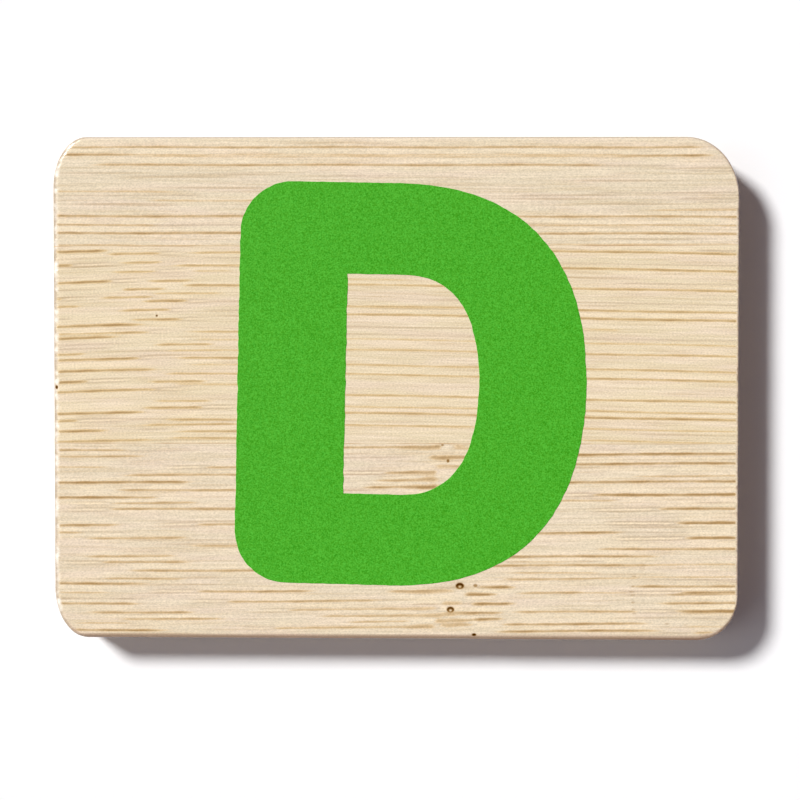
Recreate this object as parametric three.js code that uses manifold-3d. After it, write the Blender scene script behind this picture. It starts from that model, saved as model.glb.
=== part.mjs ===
// A letter tile for a toy name train: a plain bold capital D printed in green on a small
// round-cornered tile of bamboo board. Nothing on it moves: the board is glued up from strips
// in three plies, sawn to the tile's outline, eased along its edges and printed.
// The tile lies on its back with the print up. X runs along the tile as the letter is read,
// Y runs up the letter and Z from the back to the print. The origin is the middle of the back.

import * as THREE from "three";
import { mergeVertices, toCreasedNormals } from "three/addons/utils/BufferGeometryUtils.js";
import Module from "manifold-3d";

// The tile, in millimetres. Its corners were rounded by hand on a sander, so they differ.
const TILE_LENGTH = 68;
const TILE_HEIGHT = 50;
const UPPER_LEFT_RADIUS = 3.5;
const UPPER_RIGHT_RADIUS = 5.6;
const LOWER_RIGHT_RADIUS = 3.9;
const LOWER_LEFT_RADIUS = 3.5;
const EDGE_ROUNDING = 0.6;

// The board: front and back plies of strips that run along the tile, and a core ply across it.
const FRONT_PLY = 2.0;
const CORE_PLY = 1.8;
const BACK_PLY = 2.0;
const GLUE_LINE = 0.1;
const STRIP_WIDTH = 19.6;

// How much of a ply's first strip the tile holds: from the upper edge on the front and the
// back, and from the left edge in the core. The joints of the front and the back are staggered.
const FRONT_FIRST_STRIP = 10.9;
const CORE_FIRST_STRIP = 12.0;
const BACK_FIRST_STRIP = 17.7;

// How far the uncut board reaches past the tile all round.
const SAW_MARGIN = 2.0;

// The letter: its size, its strokes and the straight part of its bars, from the stem's left side.
const LETTER_WIDTH = 34.6;
const LETTER_HEIGHT = 39.9;
const STEM_WIDTH = 10.75;
const BAR_HEIGHT = 9.05;
const BOWL_WIDTH = 10.6;
const LETTER_CORNER_RADIUS = 5.2;
const BAR_STRAIGHT = 15.7;
const COUNTER_STRAIGHT = 16.5;

// How far the bowl's curve keeps its first direction, as a share of its depth and half height.
const BOWL_REACH = 0.685;
const BOWL_RISE = 0.625;

// Where the print landed: the letter's middle from the tile's middle, and its small turn.
const LETTER_SHIFT_X = 1.7;
const LETTER_SHIFT_Y = 0.3;
const LETTER_TURN = -1.25;
const INK_THICKNESS = 0.1;

// How finely the curves are cut into facets.
const CORNER_FACETS = 5;
const EDGE_FACETS = 4;
const LETTER_FACETS = 18;
const CREASE_ANGLE = 30;

const TILE_THICKNESS = BACK_PLY + GLUE_LINE + CORE_PLY + GLUE_LINE + FRONT_PLY;
const CORE_BOTTOM = BACK_PLY + GLUE_LINE;
const FRONT_BOTTOM = CORE_BOTTOM + CORE_PLY + GLUE_LINE;

const wasm = await Module();
wasm.setup();

function solidFrom(geometry) {
  geometry.deleteAttribute("normal");
  geometry.deleteAttribute("uv");
  const merged = mergeVertices(geometry);
  const vertProperties = merged.getAttribute("position").array;
  const triVerts = new Uint32Array(merged.getIndex().array);
  return new wasm.Manifold(new wasm.Mesh({ numProp: 3, vertProperties, triVerts }));
}

function geometryFrom(solid) {
  const { vertProperties, triVerts } = solid.getMesh();
  const geometry = new THREE.BufferGeometry();
  geometry.setAttribute("position", new THREE.BufferAttribute(vertProperties, 3));
  geometry.setIndex(new THREE.BufferAttribute(triVerts, 1));
  return toCreasedNormals(geometry, THREE.MathUtils.degToRad(CREASE_ANGLE));
}

function pieceOf(name, geometry, color, roughness) {
  const material = new THREE.MeshStandardMaterial({ color, roughness, metalness: 0 });
  const piece = new THREE.Mesh(geometry, material);
  piece.name = name;
  return piece;
}

// The sawn outline of the tile, with a different radius at each corner.
function tileOutline() {
  const right = TILE_LENGTH / 2;
  const top = TILE_HEIGHT / 2;
  const quarter = Math.PI / 2;
  const corners = [
    [right, -top, LOWER_RIGHT_RADIUS],
    [right, top, UPPER_RIGHT_RADIUS],
    [-right, top, UPPER_LEFT_RADIUS],
    [-right, -top, LOWER_LEFT_RADIUS],
  ];
  const outline = new THREE.Shape();
  corners.forEach(([x, y, radius], turn) => {
    const centreX = x - Math.sign(x) * radius;
    const centreY = y - Math.sign(y) * radius;
    const start = (turn - 1) * quarter;
    outline.absarc(centreX, centreY, radius, start, start + quarter, false);
  });
  outline.closePath();
  return outline;
}

// The whole tile as one block: the outline through the board, with its long edges eased round.
function tileBlank() {
  const geometry = new THREE.ExtrudeGeometry(tileOutline(), {
    depth: TILE_THICKNESS - 2 * EDGE_ROUNDING,
    bevelThickness: EDGE_ROUNDING,
    bevelSize: EDGE_ROUNDING,
    bevelOffset: -EDGE_ROUNDING,
    bevelSegments: EDGE_FACETS,
    curveSegments: CORNER_FACETS,
  });
  geometry.translate(0, 0, EDGE_ROUNDING);
  return solidFrom(geometry);
}

// The strips of one ply, as distances from the edge of the tile where its first strip lies.
function stripRuns(firstStrip, tileSize) {
  const runs = [[-SAW_MARGIN, firstStrip]];
  for (let start = firstStrip; start < tileSize; start += STRIP_WIDTH) {
    runs.push([start, start + STRIP_WIDTH]);
  }
  return runs;
}

// One uncut strip along the tile, counted down from its upper edge, less half a glue line a side.
function lengthwiseStrip([start, end], bottom, top) {
  const length = TILE_LENGTH + 2 * SAW_MARGIN;
  const box = new THREE.BoxGeometry(length, end - start - GLUE_LINE, top - bottom);
  return solidFrom(box.translate(0, (TILE_HEIGHT - start - end) / 2, (bottom + top) / 2));
}

// One uncut strip across the tile, counted from its left edge, less half a glue line a side.
function crosswiseStrip([start, end], bottom, top) {
  const length = TILE_HEIGHT + 2 * SAW_MARGIN;
  const box = new THREE.BoxGeometry(end - start - GLUE_LINE, length, top - bottom);
  return solidFrom(box.translate((start + end - TILE_LENGTH) / 2, 0, (bottom + top) / 2));
}

// The strips of one ply, each sawn and eased with the rest of the tile.
function strippedPly(name, uncutStrips, finish) {
  const ply = new THREE.Group();
  const blank = tileBlank();
  uncutStrips.forEach((uncut, index) => {
    const color = finish.colors[index % finish.colors.length];
    const geometry = geometryFrom(blank.intersect(uncut));
    ply.add(pieceOf(`${name}_strip_${index + 1}`, geometry, color, finish.roughness));
  });
  return ply;
}

// The front ply, upper strip first: the bamboo that shows round the letter.
function frontPly() {
  const top = TILE_THICKNESS + SAW_MARGIN;
  const runs = stripRuns(FRONT_FIRST_STRIP, TILE_HEIGHT);
  const finish = { colors: [0xe8d6b9, 0xecd9b9, 0xead7bb], roughness: 0.45 };
  return strippedPly("front", runs.map((run) => lengthwiseStrip(run, FRONT_BOTTOM, top)), finish);
}

// The core ply, left strip first: cross strips that keep the tile flat.
function corePly() {
  const top = CORE_BOTTOM + CORE_PLY;
  const runs = stripRuns(CORE_FIRST_STRIP, TILE_LENGTH);
  const finish = { colors: [0xdcc49c, 0xe0c9a3], roughness: 0.6 };
  return strippedPly("core", runs.map((run) => crosswiseStrip(run, CORE_BOTTOM, top)), finish);
}

// The back ply, upper strip first.
function backPly() {
  const runs = stripRuns(BACK_FIRST_STRIP, TILE_HEIGHT);
  const finish = { colors: [0xead8ba, 0xe6d2b0, 0xe9d6b6], roughness: 0.5 };
  return strippedPly("back", runs.map((run) => lengthwiseStrip(run, -SAW_MARGIN, BACK_PLY)), finish);
}

// Two curves from the bottom bar round the bowl to the top bar, between two straight bars.
function addBowl(path, start, right, bottom, top) {
  const middle = (bottom + top) / 2;
  const reach = start + BOWL_REACH * (right - start);
  const rise = BOWL_RISE * (top - middle);
  path.lineTo(start, bottom);
  path.bezierCurveTo(reach, bottom, right, middle - rise, right, middle);
  path.bezierCurveTo(right, middle + rise, reach, top, start, top);
}

// The letter's outline round its own middle, with the counter as a hole.
function letterShape() {
  const left = -LETTER_WIDTH / 2;
  const right = LETTER_WIDTH / 2;
  const top = LETTER_HEIGHT / 2;
  const radius = LETTER_CORNER_RADIUS;
  const shape = new THREE.Shape();
  shape.absarc(left + radius, radius - top, radius, Math.PI, 1.5 * Math.PI, false);
  addBowl(shape, left + BAR_STRAIGHT, right, -top, top);
  shape.absarc(left + radius, top - radius, radius, 0.5 * Math.PI, Math.PI, false);
  shape.closePath();

  const counterTop = top - BAR_HEIGHT;
  const counter = new THREE.Path();
  counter.moveTo(left + STEM_WIDTH, -counterTop);
  addBowl(counter, left + COUNTER_STRAIGHT, right - BOWL_WIDTH, -counterTop, counterTop);
  counter.lineTo(left + STEM_WIDTH, counterTop);
  counter.closePath();
  shape.holes.push(counter);
  return shape;
}

// The print: a film of green ink that lies on the front ply.
function letterPrint() {
  const finish = { color: 0x4fad2e, roughness: 0.5 };
  const geometry = new THREE.ExtrudeGeometry(letterShape(), {
    depth: INK_THICKNESS,
    bevelEnabled: false,
    curveSegments: LETTER_FACETS,
  });
  const print = new THREE.Group();
  print.position.set(LETTER_SHIFT_X, LETTER_SHIFT_Y, TILE_THICKNESS);
  print.rotation.z = THREE.MathUtils.degToRad(LETTER_TURN);
  print.add(pieceOf("letter_print", geometry, finish.color, finish.roughness));
  return print;
}

const letterTile = new THREE.Group();
letterTile.add(backPly(), corePly(), frontPly(), letterPrint());

export default letterTile;
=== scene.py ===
"""A letter tile for a toy name train: bamboo strips glued into a three-ply board, the tile sawn
out of it and sanded, and a plain bold capital D printed on the front in green."""

import math
import random

import bmesh
import bpy
import numpy as np
from mathutils import Matrix, Vector, noise


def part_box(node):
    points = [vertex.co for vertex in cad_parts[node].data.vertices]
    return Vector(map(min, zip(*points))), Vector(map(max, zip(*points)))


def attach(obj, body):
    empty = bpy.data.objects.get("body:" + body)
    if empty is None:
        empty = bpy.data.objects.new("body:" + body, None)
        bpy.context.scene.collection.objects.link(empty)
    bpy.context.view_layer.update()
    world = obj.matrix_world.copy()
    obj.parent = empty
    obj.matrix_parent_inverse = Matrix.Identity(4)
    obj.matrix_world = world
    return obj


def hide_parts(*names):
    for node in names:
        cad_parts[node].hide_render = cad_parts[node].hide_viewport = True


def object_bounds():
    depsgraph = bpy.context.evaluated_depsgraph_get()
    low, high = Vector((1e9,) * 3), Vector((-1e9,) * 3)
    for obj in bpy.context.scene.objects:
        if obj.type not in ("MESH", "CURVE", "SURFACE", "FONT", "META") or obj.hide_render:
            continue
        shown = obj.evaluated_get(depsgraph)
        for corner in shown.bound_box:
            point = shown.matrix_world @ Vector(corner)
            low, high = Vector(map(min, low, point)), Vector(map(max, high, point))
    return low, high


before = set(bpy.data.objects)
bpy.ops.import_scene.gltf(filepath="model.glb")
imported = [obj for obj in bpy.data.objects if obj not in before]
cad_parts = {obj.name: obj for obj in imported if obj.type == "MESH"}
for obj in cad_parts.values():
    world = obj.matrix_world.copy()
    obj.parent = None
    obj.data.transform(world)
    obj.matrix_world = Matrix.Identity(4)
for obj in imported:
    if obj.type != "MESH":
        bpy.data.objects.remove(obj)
cad_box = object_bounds()


# The sawn tile
# Bamboo board sawn to a rectangle, its four corners rounded and its edges eased on a belt sander.
# By hand, so the corners differ and are a little oval. All strips and glue lines are cut from it.

# Lengths in this file are in millimetres, and MM turns them to metres.
MM = 0.001
CORNER_SIZES = {(-1, 1): (3.4, 5.0), (1, 1): (5.2, 6.3), (1, -1): (4.0, 4.5), (-1, -1): (3.3, 5.1)}
EDGE_ROUNDING = 0.75
CORNER_STEPS = 14
EDGE_STEPS = 8
SAW_SLACK = 0.01
SAW_TAPER = 0.25
TAPER_START = 20.7
LEVEL_NORMAL = 0.9


def box_of(node):
    """The lowest and highest corner of a CAD node, in millimetres."""
    return [Vector(corner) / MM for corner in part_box(node)]


tile_low = box_of("back_strip_2")[0]
tile_high = box_of("front_strip_2")[1]
tile_low.y = -cad_box[1].y / MM
tile_high.y = cad_box[1].y / MM

tile_block = bmesh.new()
bmesh.ops.create_cube(tile_block, size=1.0)
bmesh.ops.scale(tile_block, vec=tile_high - tile_low, verts=tile_block.verts)
bmesh.ops.translate(tile_block, vec=(tile_high + tile_low) / 2, verts=tile_block.verts)
for (side_x, side_y), (corner_width, corner_height) in CORNER_SIZES.items():
    corner = Vector((side_x * tile_high.x, side_y * tile_high.y))
    upright = [edge for edge in tile_block.edges
               if all((vert.co.xy - corner).length < SAW_SLACK for vert in edge.verts)]
    made = bmesh.ops.bevel(tile_block, geom=upright, offset=corner_width, segments=CORNER_STEPS,
                           profile=0.5, affect="EDGES", material=-1)
    for vert in made["verts"]:
        vert.co.y = corner.y + (vert.co.y - corner.y) * corner_height / corner_width
tile_block.normal_update()
rims = [edge for edge in tile_block.edges
        if any(abs(face.normal.z) > LEVEL_NORMAL for face in edge.link_faces)]
bmesh.ops.bevel(tile_block, geom=rims, offset=EDGE_ROUNDING, segments=EDGE_STEPS,
                profile=0.5, affect="EDGES", material=-1)


def cut(part, axis, place, drop=0, geometry=None):
    """Cuts a part square to an axis. A drop of 1 or -1 takes off what lies above or below."""
    point = Vector((0, 0, 0))
    point[axis] = place
    normal = Vector((0, 0, 0))
    normal[axis] = drop or 1
    made = bmesh.ops.bisect_plane(part, geom=geometry or part.verts[:] + part.edges[:] + part.faces[:],
                                  plane_co=point, plane_no=normal, clear_outer=bool(drop))
    if drop:
        open_edges = [item for item in made["geom_cut"] if isinstance(item, bmesh.types.BMEdge)]
        bmesh.ops.holes_fill(part, edges=open_edges, sides=0)
    return made["geom"]


def saw_out(low, high):
    """The part of the tile between two corners, with its sawn sides closed."""
    part = tile_block.copy()
    for axis in range(3):
        if low[axis] > tile_low[axis] + SAW_SLACK:
            cut(part, axis, low[axis], drop=-1)
        if high[axis] < tile_high[axis] - SAW_SLACK:
            cut(part, axis, high[axis], drop=1)
    return part


# The front rim on each side of the tile: how wide and how deep it is eased, and how much of it is
# painted white as a highlight, greyed at its outer edge, and painted darker brown as shade.
RIM_LEFT = Vector((0.55, 0.28, 1.0, 0.8, 0.0))
RIM_RIGHT = Vector((0.16, 0.5, 0.0, 0.0, 0.55))
RIM_TOP = Vector((0.32, 0.32, 0.25, 0.8, 0.0))
RIM_BOTTOM = Vector((0.62, 0.62, 0.0, 0.0, 0.42))

# How unevenly the rim is eased and its painted highlight breaks up. Each wave is its length along
# the rim and its share.
RIM_WAVES = [(2.6, 0.16), (0.8, 0.2), (0.3, 0.16)]
RIM_CHATTER = 0.03
CHATTER_WAVE = 0.45
CHATTER_LEVEL = 0.5
# How much of the shoulder takes the painted highlight, and the waves of its patches.
HIGHLIGHT_SHARE = 0.25
HIGHLIGHT_WAVES = [(1.6, 1.3), (0.5, 0.9)]
# How fast the grey and the painted shade rise towards the rim's outer edge.
GREY_RISE = 3.0
SHADE_RISE = 2.5


def waver(spot, waves):
    """How far the hand strays at a spot of the rim, by the sum of its waves."""
    return sum(share * noise.noise(spot / wave) for wave, share in waves)


def rim_place(place, side):
    """How far a point lies in from the tile's outline, and which way is out there."""
    inward = Vector((tile_high.x - abs(place.x), tile_high.y - abs(place.y)))
    corner_size = Vector(CORNER_SIZES[side])
    if inward.x < corner_size.x and inward.y < corner_size.y:
        lean = Vector((1 - inward.x / corner_size.x, 1 - inward.y / corner_size.y))
        slope = Vector((lean.x / corner_size.x, lean.y / corner_size.y))
        inset = (1 - lean.length) * lean.length / slope.length
        outward = slope.normalized()
    else:
        inset = min(inward)
        outward = Vector((inward.x < inward.y, inward.x >= inward.y))
    return max(inset, 0), outward


def sand(part):
    """Eases the front rim as a hand holds it to the belt: a soft shoulder at the left, round at the
    bottom, crisp at the right. The ease wanders in waves along the rim, and the belt chatters on it.
    The shoulder takes a painted highlight in places at the left and top, where the outer rim is
    greyed; at the right and bottom the outer rim is painted darker brown as shade."""
    painted_highlight, outer_grey, painted_shade = [part.verts.layers.float.new(name) for name in ("painted_highlight", "outer_grey", "painted_shade")]
    for vert in part.verts:
        if vert.co.z < tile_high.z - EDGE_ROUNDING - SAW_SLACK:
            continue
        side = (int(math.copysign(1, vert.co.x)), int(math.copysign(1, vert.co.y)))
        inset, outward = rim_place(vert.co, side)
        if inset > EDGE_ROUNDING:
            continue
        if vert.co.z < tile_high.z - EDGE_ROUNDING + SAW_SLACK:
            inset = 0
        rim_x = RIM_RIGHT if side[0] > 0 else RIM_LEFT
        rim_y = RIM_TOP if side[1] > 0 else RIM_BOTTOM
        width, depth, highlight_share, grey_share, shade_share = rim_x * outward.x ** 2 + rim_y * outward.y ** 2
        spot = Vector((vert.co.x, vert.co.y, 0))
        uneven = 1 + waver(spot, RIM_WAVES)
        outer = 1 - min(inset / min(width * uneven, EDGE_ROUNDING), 1)
        shoulder = 4 * outer * (1 - outer)
        vert.co.z = tile_high.z - depth * uneven * (1 - math.sqrt(1 - outer ** 2))
        vert.co.z -= RIM_CHATTER * shoulder * (CHATTER_LEVEL + noise.noise(spot / CHATTER_WAVE))
        # The shoulder at the left and top takes a painted highlight, in patches.
        patchy = HIGHLIGHT_SHARE + waver(spot, HIGHLIGHT_WAVES)
        vert[painted_highlight] = highlight_share * shoulder * min(max(patchy, 0), 1)
        if inset > 0:
            # The outer rim at the left and top is greyed.
            vert[outer_grey] = grey_share * min(max(GREY_RISE * outer - 1, 0), 1)
            # The outer rim at the right and bottom is painted darker brown as shade.
            vert[painted_shade] = shade_share * min(SHADE_RISE * outer, 1)


def run_out(part):
    """Lowers the upper edge towards the right, where the saw ran a little out of square."""
    for vert in part.verts:
        along = (vert.co.x - tile_low.x) / (tile_high.x - tile_low.x)
        near = max((vert.co.y - TAPER_START) / (tile_high.y - TAPER_START), 0)
        vert.co.y -= SAW_TAPER * along * near


# Back ply
# Three strips of split bamboo, planed and edge-glued, that run along the tile. The photograph
# doesn't show them: they get the same planed and lacquered face as the front, without its nodes.

SMOOTH_ANGLE = math.radians(35)
WELD = 0.0005


def add_piece(name, part, material, smooth_angle=SMOOTH_ANGLE):
    """Makes a finished bmesh an object of the tile, in metres, and lets it ride on the body."""
    run_out(part)
    bmesh.ops.remove_doubles(part, verts=part.verts, dist=WELD)
    bmesh.ops.recalc_face_normals(part, faces=part.faces)
    bmesh.ops.scale(part, vec=(MM, MM, MM), verts=part.verts)
    mesh = bpy.data.meshes.new(name)
    part.to_mesh(mesh)
    part.free()
    mesh.shade_smooth()
    mesh.set_sharp_from_angle(angle=smooth_angle)
    mesh.materials.append(material)
    piece = bpy.data.objects.new(name, mesh)
    bpy.context.collection.objects.link(piece)
    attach(piece, "root")
    return piece


COMB_MARGIN = 0.1


def comb(strip, row, steps):
    """Cuts a strip into rows along its fibres, as fine as a fibre bundle, and the rows into steps."""
    end = tile_high.x - EDGE_ROUNDING - COMB_MARGIN
    cut(strip, 0, -end)
    cut(strip, 0, end)
    low = min(vert.co.y for vert in strip.verts)
    high = max(vert.co.y for vert in strip.verts)
    for count in range(1, round((high - low) / row)):
        cut(strip, 1, low + count * row)
    long_edges = [edge for edge in strip.edges
                  if abs(edge.verts[0].co.x - edge.verts[1].co.x) > end
                  and abs(edge.verts[0].co.z - tile_high.z / 2) > tile_high.z / 2 - SAW_SLACK]
    bmesh.ops.subdivide_edges(strip, edges=long_edges, cuts=steps, use_grid_fill=True)


# A fibre bundle, in mm: how wide a faint one is and what a bold one adds, how it thins and tapers at
# its ends, and how pale the flesh beside it is. One side of it is crisper.
BUNDLE_WIDTH = 0.07
BOLD_WIDTH = 0.1
END_WIDTH = 0.6
TAPER_SHARE = 0.25
TAPER_MOST = 2.4
TAPER_PAST = 0.35
FLESH_PALENESS = 0.3
FLESH_REACH = 3.0
FIBRE_SKEW = 0.35

# The cane's growth node, near which bundles swell and darken, and where they end bluntly.
NODE_REACH = 2.8
NODE_SWELL = 1.0
NODE_DARKENING = 0.05
BLUNT_ZONE = 0.7
BLUNT_END = 0.5

# Single hairs. The weakest bundles are hairs alone. Bolder ones have a hair that comes and goes
# beside them, and a tail that frays into a pair of hairs with a pale gap between.
HAIR_BELOW = 0.4
HAIR_BOLDNESS = 1.1
HAIR_WIDTH = 0.08
SIDE_HAIR_BOLDNESS = 0.28
SIDE_HAIR_GAP = 0.2
SIDE_HAIR_STRAY = 0.12
SIDE_HAIR_LEVEL = 0.4
FRAY_BOLDNESS = 0.5
FRAY_LEAD = 1.2
FRAY_FADE = 1.5
FRAY_SPREAD = 0.16
FRAY_GAP = 0.11
FRAY_PALENESS = 0.35

# Each wave along a bundle: its size, its radians per mm, and its phase per mm of the bundle's height.
# The phases make each bundle differ.
WANDER = [(0.025, 0.33, 7), (0.012, 2.9, 5)]
NODE_TWIST = [(0.035, 1.2, 3)]
UNEVENNESS = [(0.1, 1.9, 13), (0.12, 0.71, 29)]
SIDE_HAIR_WAVE = [(1.0, 0.8, 17)]
SKEW_PHASE = 41
SIDE_PHASE = 57
STRAY_PHASE = 91


def ripple(x, height, waves):
    """How much something varies along a bundle, by the sum of its waves."""
    return sum(size * np.sin(turns * x + phase * height) for size, turns, phase in waves)


def bell(distance, width):
    """1 in the middle of something, falling off smoothly over its width."""
    return np.exp(-(distance / width) ** 2)


def fibre_field(x, y, bundles, lift, node):
    """How deep a point lies in a golden fibre bundle, under 0 in the pale flesh beside one, and how
    deep in a single hair. A bundle runs from start to end at a height."""
    field = np.zeros_like(x)
    hair = np.zeros_like(x)
    near_node = bell(x - node, NODE_REACH)
    for start, end, height, weight, tail in bundles:
        middle = (start + end) / 2
        wander = ripple(x, height, WANDER) + near_node * ripple(x, height, NODE_TWIST)
        aside = y - height - lift(x) + lift(middle) - wander
        away = np.abs(aside)
        taper = min(TAPER_SHARE * (end - start), TAPER_MOST)
        tapers = [BLUNT_END if abs(spot - node) < BLUNT_ZONE else taper for spot in (start, end)]
        run = (np.clip((x - start) / tapers[0] + TAPER_PAST, 0, 1)
               * np.clip((end - x) / tapers[1] + TAPER_PAST, 0, 1))
        run = run * run * (3 - 2 * run) * (1 + ripple(x, height, UNEVENNESS))
        if weight < HAIR_BELOW:
            hair += HAIR_BOLDNESS * weight * run * bell(away, HAIR_WIDTH)
            continue
        width = (BUNDLE_WIDTH + BOLD_WIDTH * weight) * (END_WIDTH + (1 - END_WIDTH) * run)
        width = width * (1 + NODE_SWELL * near_node)
        width = width * (1 + FIBRE_SKEW * np.sin(SKEW_PHASE * height) * np.sign(aside))
        bold = weight * run * (1 + NODE_DARKENING * near_node)
        pale = FLESH_PALENESS * bell(away, FLESH_REACH * width)
        field += bold * ((1 + FLESH_PALENESS) * bell(away, width) - pale)
        side = math.copysign(1, math.sin(SIDE_PHASE * height))
        hair_place = side * (width + SIDE_HAIR_GAP + SIDE_HAIR_STRAY * math.sin(STRAY_PHASE * height))
        hair_run = run * np.clip(SIDE_HAIR_LEVEL + ripple(x, height, SIDE_HAIR_WAVE), 0, 1)
        hair += SIDE_HAIR_BOLDNESS * weight * hair_run * bell(aside - hair_place, HAIR_WIDTH)
        if tail:
            past = (x - end) if tail > 0 else (start - x)
            fray = (np.clip((past + FRAY_LEAD) / FRAY_LEAD, 0, 1)
                    * np.clip((abs(tail) - past) / FRAY_FADE, 0, 1))
            hair += FRAY_BOLDNESS * weight * fray * bell(away - FRAY_SPREAD, HAIR_WIDTH)
            field -= FRAY_PALENESS * weight * fray * bell(away, FRAY_GAP)
    return field, hair


FIBRE_PROUD = 0.005
PIT_DEPTH = 0.02
PIT_FLOOR = 1.6
EYE_SHADE_DROP = 0.3
# How far the golden eye sits below the middle of its ring, which leaves the ring wider above as painted
# shade of the pit's upper wall.
EYE_SIZE = 0.55
EYE_GOLD = 0.1
EYE_RISE = 0.6
RIM_FADE = 0.05
BARE_END = 0.2
BARE_FADE = 0.18
EDGE_START = 0.04
EDGE_FULL = 0.2
FAR_OFF = 1000.0

# How far apart two strips are taken from the cane, along it and through it, so that none are alike.
CANE_STEP_ALONG = 90
CANE_STEP_DOWN = 40


def grow_grain(piece, number, lift, bundles=(), node=FAR_OFF, scars=(), across=False):
    """Gives a strip its grain: how far each point lies along, across and down the cane, in mm,
    how deep it lies in a fibre bundle or a hair, how far down the edge, and where an old bud left a
    scar. The flesh is worn a little below the hard fibres, which stop short of the rim. Scars are
    pits."""
    mesh = piece.data
    place = np.empty(3 * len(mesh.vertices))
    mesh.vertices.foreach_get("co", place)
    place = place.reshape(-1, 3) / MM
    x, y, z = (place[:, 1], place[:, 0], place[:, 2]) if across else place.T
    grain = np.stack([x + CANE_STEP_ALONG * number, y - lift(x), z + CANE_STEP_DOWN * number], axis=1)
    drop = tile_high.z / 2 - np.abs(z - tile_high.z / 2)
    face = np.clip(1 - drop / RIM_FADE, 0, 1)
    face *= np.clip((tile_high.x - np.abs(x) - BARE_END) / BARE_FADE, 0, 1)
    edge = np.clip((drop - EDGE_START) / (EDGE_FULL - EDGE_START), 0, 1)
    fibre, hair = fibre_field(x, y, bundles, lift, node)
    scar = np.zeros_like(x)
    pit = np.zeros_like(x)
    for scar_x, scar_y, half_x, half_y, weight, ring in scars:
        aside, above = (x - scar_x) / half_x, (y - scar_y) / half_y
        hollow = np.clip(PIT_FLOOR * np.exp(-np.hypot(aside, above) ** 4), 0, 1)
        hollow *= z > tile_high.z / 2
        # The eye sits low in its ring, so the dark ring is wider above: painted shade of the pit's upper
        # wall.
        eye = ring * bell(np.hypot(aside, above + EYE_SHADE_DROP), EYE_SIZE)
        scar = np.maximum(scar, weight * np.clip(hollow - eye, 0, 1))
        fibre += (EYE_GOLD - fibre) * eye
        hair *= 1 - eye
        pit += weight * (hollow - EYE_RISE * eye)
    sunk = face * FIBRE_PROUD * np.clip(1 - fibre - hair, 0, 2) + PIT_DEPTH * pit
    place[:, 2] -= np.sign(z - tile_high.z / 2) * sunk
    mesh.vertices.foreach_set("co", (place * MM).ravel())
    mesh.attributes.new("grain", "FLOAT_VECTOR", "POINT").data.foreach_set("vector", grain.ravel())
    amounts = {"fibre": fibre * face, "hair": hair * face, "edge": edge, "scar": scar}
    for attribute, values in amounts.items():
        mesh.attributes.new(attribute, "FLOAT", "POINT").data.foreach_set("value", values)
    mesh.update()


def linear(hex_colour):
    """A colour written as sRGB hex, as the linear RGBA that a shader takes."""
    parts = [int(hex_colour[i:i + 2], 16) / 255 for i in (1, 3, 5)]
    return [c / 12.92 if c <= 0.04045 else ((c + 0.055) / 1.055) ** 2.4 for c in parts] + [1.0]


def add_node(material, kind, inputs=None, **settings):
    """Adds a node to a material, with its settings, and fills or links its inputs."""
    node = material.node_tree.nodes.new(kind)
    for setting, value in settings.items():
        setattr(node, setting, value)
    for socket, value in (inputs or {}).items():
        if isinstance(value, bpy.types.NodeSocket):
            material.node_tree.links.new(value, node.inputs[socket])
        else:
            node.inputs[socket].default_value = value
    return node


# Bamboo, planed, sanded and lacquered satin. Pale straw flesh with hair-fine streaks along the cane,
# rosy in places. Its fibre bundles are golden with an ochre core, between paler flesh, and single
# hairs are taupe. They taper off on the face and show as brown dots on the end grain, 0.6 mm apart.
# The cut edges drink more lacquer and are browner. The rims carry a painted highlight in patches at
# the left and top, where their outer edge is greyed, and painted shade in darker brown at the right
# and bottom. The bud scars are left bare of lacquer. The marks of sanding are a fine mottle, drawn
# about twice as coarse as real grit so that it shows.
FLESH_ROSY = "#EDD6C1"
FLESH_SHADE = "#D3BA90"
FLESH_PALE = "#FBE9CC"
FIBRE_GOLD = "#E6CB9A"
FIBRE_OCHRE = "#AF8C5A"
FIBRE_SHEATH = "#FFEBC6"
HAIR_TAUPE = "#AA8C69"
EDGE_TAN = "#B4946C"
BUNDLE_BROWN = "#86643C"
# Painted shade for the outer rim at the right and bottom.
SHADE_BROWN = "#A97354"
# Grey for the outer rim at the left and top.
OUTER_RIM_GREY = "#B5A591"
# Painted highlight for the rim's shoulder at the left and top.
HIGHLIGHT_WHITE = "#FFF8EA"
SCAR_AMBER = "#A07A42"
SCAR_BROWN = "#4A2600"
BUNDLE_SPACING = 0.6
BUNDLE_LENGTH = 26.0
STREAK_WIDTH = 0.16
STREAK_LENGTH = 6.0
PATCH_WIDTH = 1.1
PATCH_LENGTH = 9.0
GRIT_WIDTH = 0.12
GRIT_LENGTH = 0.2
MINOR_BUNDLES = 0.4
EDGE_STAIN = 0.75
SHEATH_PALENESS = 2.2
MOTTLE = 0.14
LACQUER_ROUGHNESS = (0.14, 0.24)
LACQUER_GLOSS = 0.3
GRAIN_RELIEF = 0.02
RELIEF_STRENGTH = 0.4

# The sockets of a Mix node that mixes colours.
MIX_SHARE = 0
MIX_UNDER = 6
MIX_OVER = 7
MIX_RESULT = 2


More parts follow.
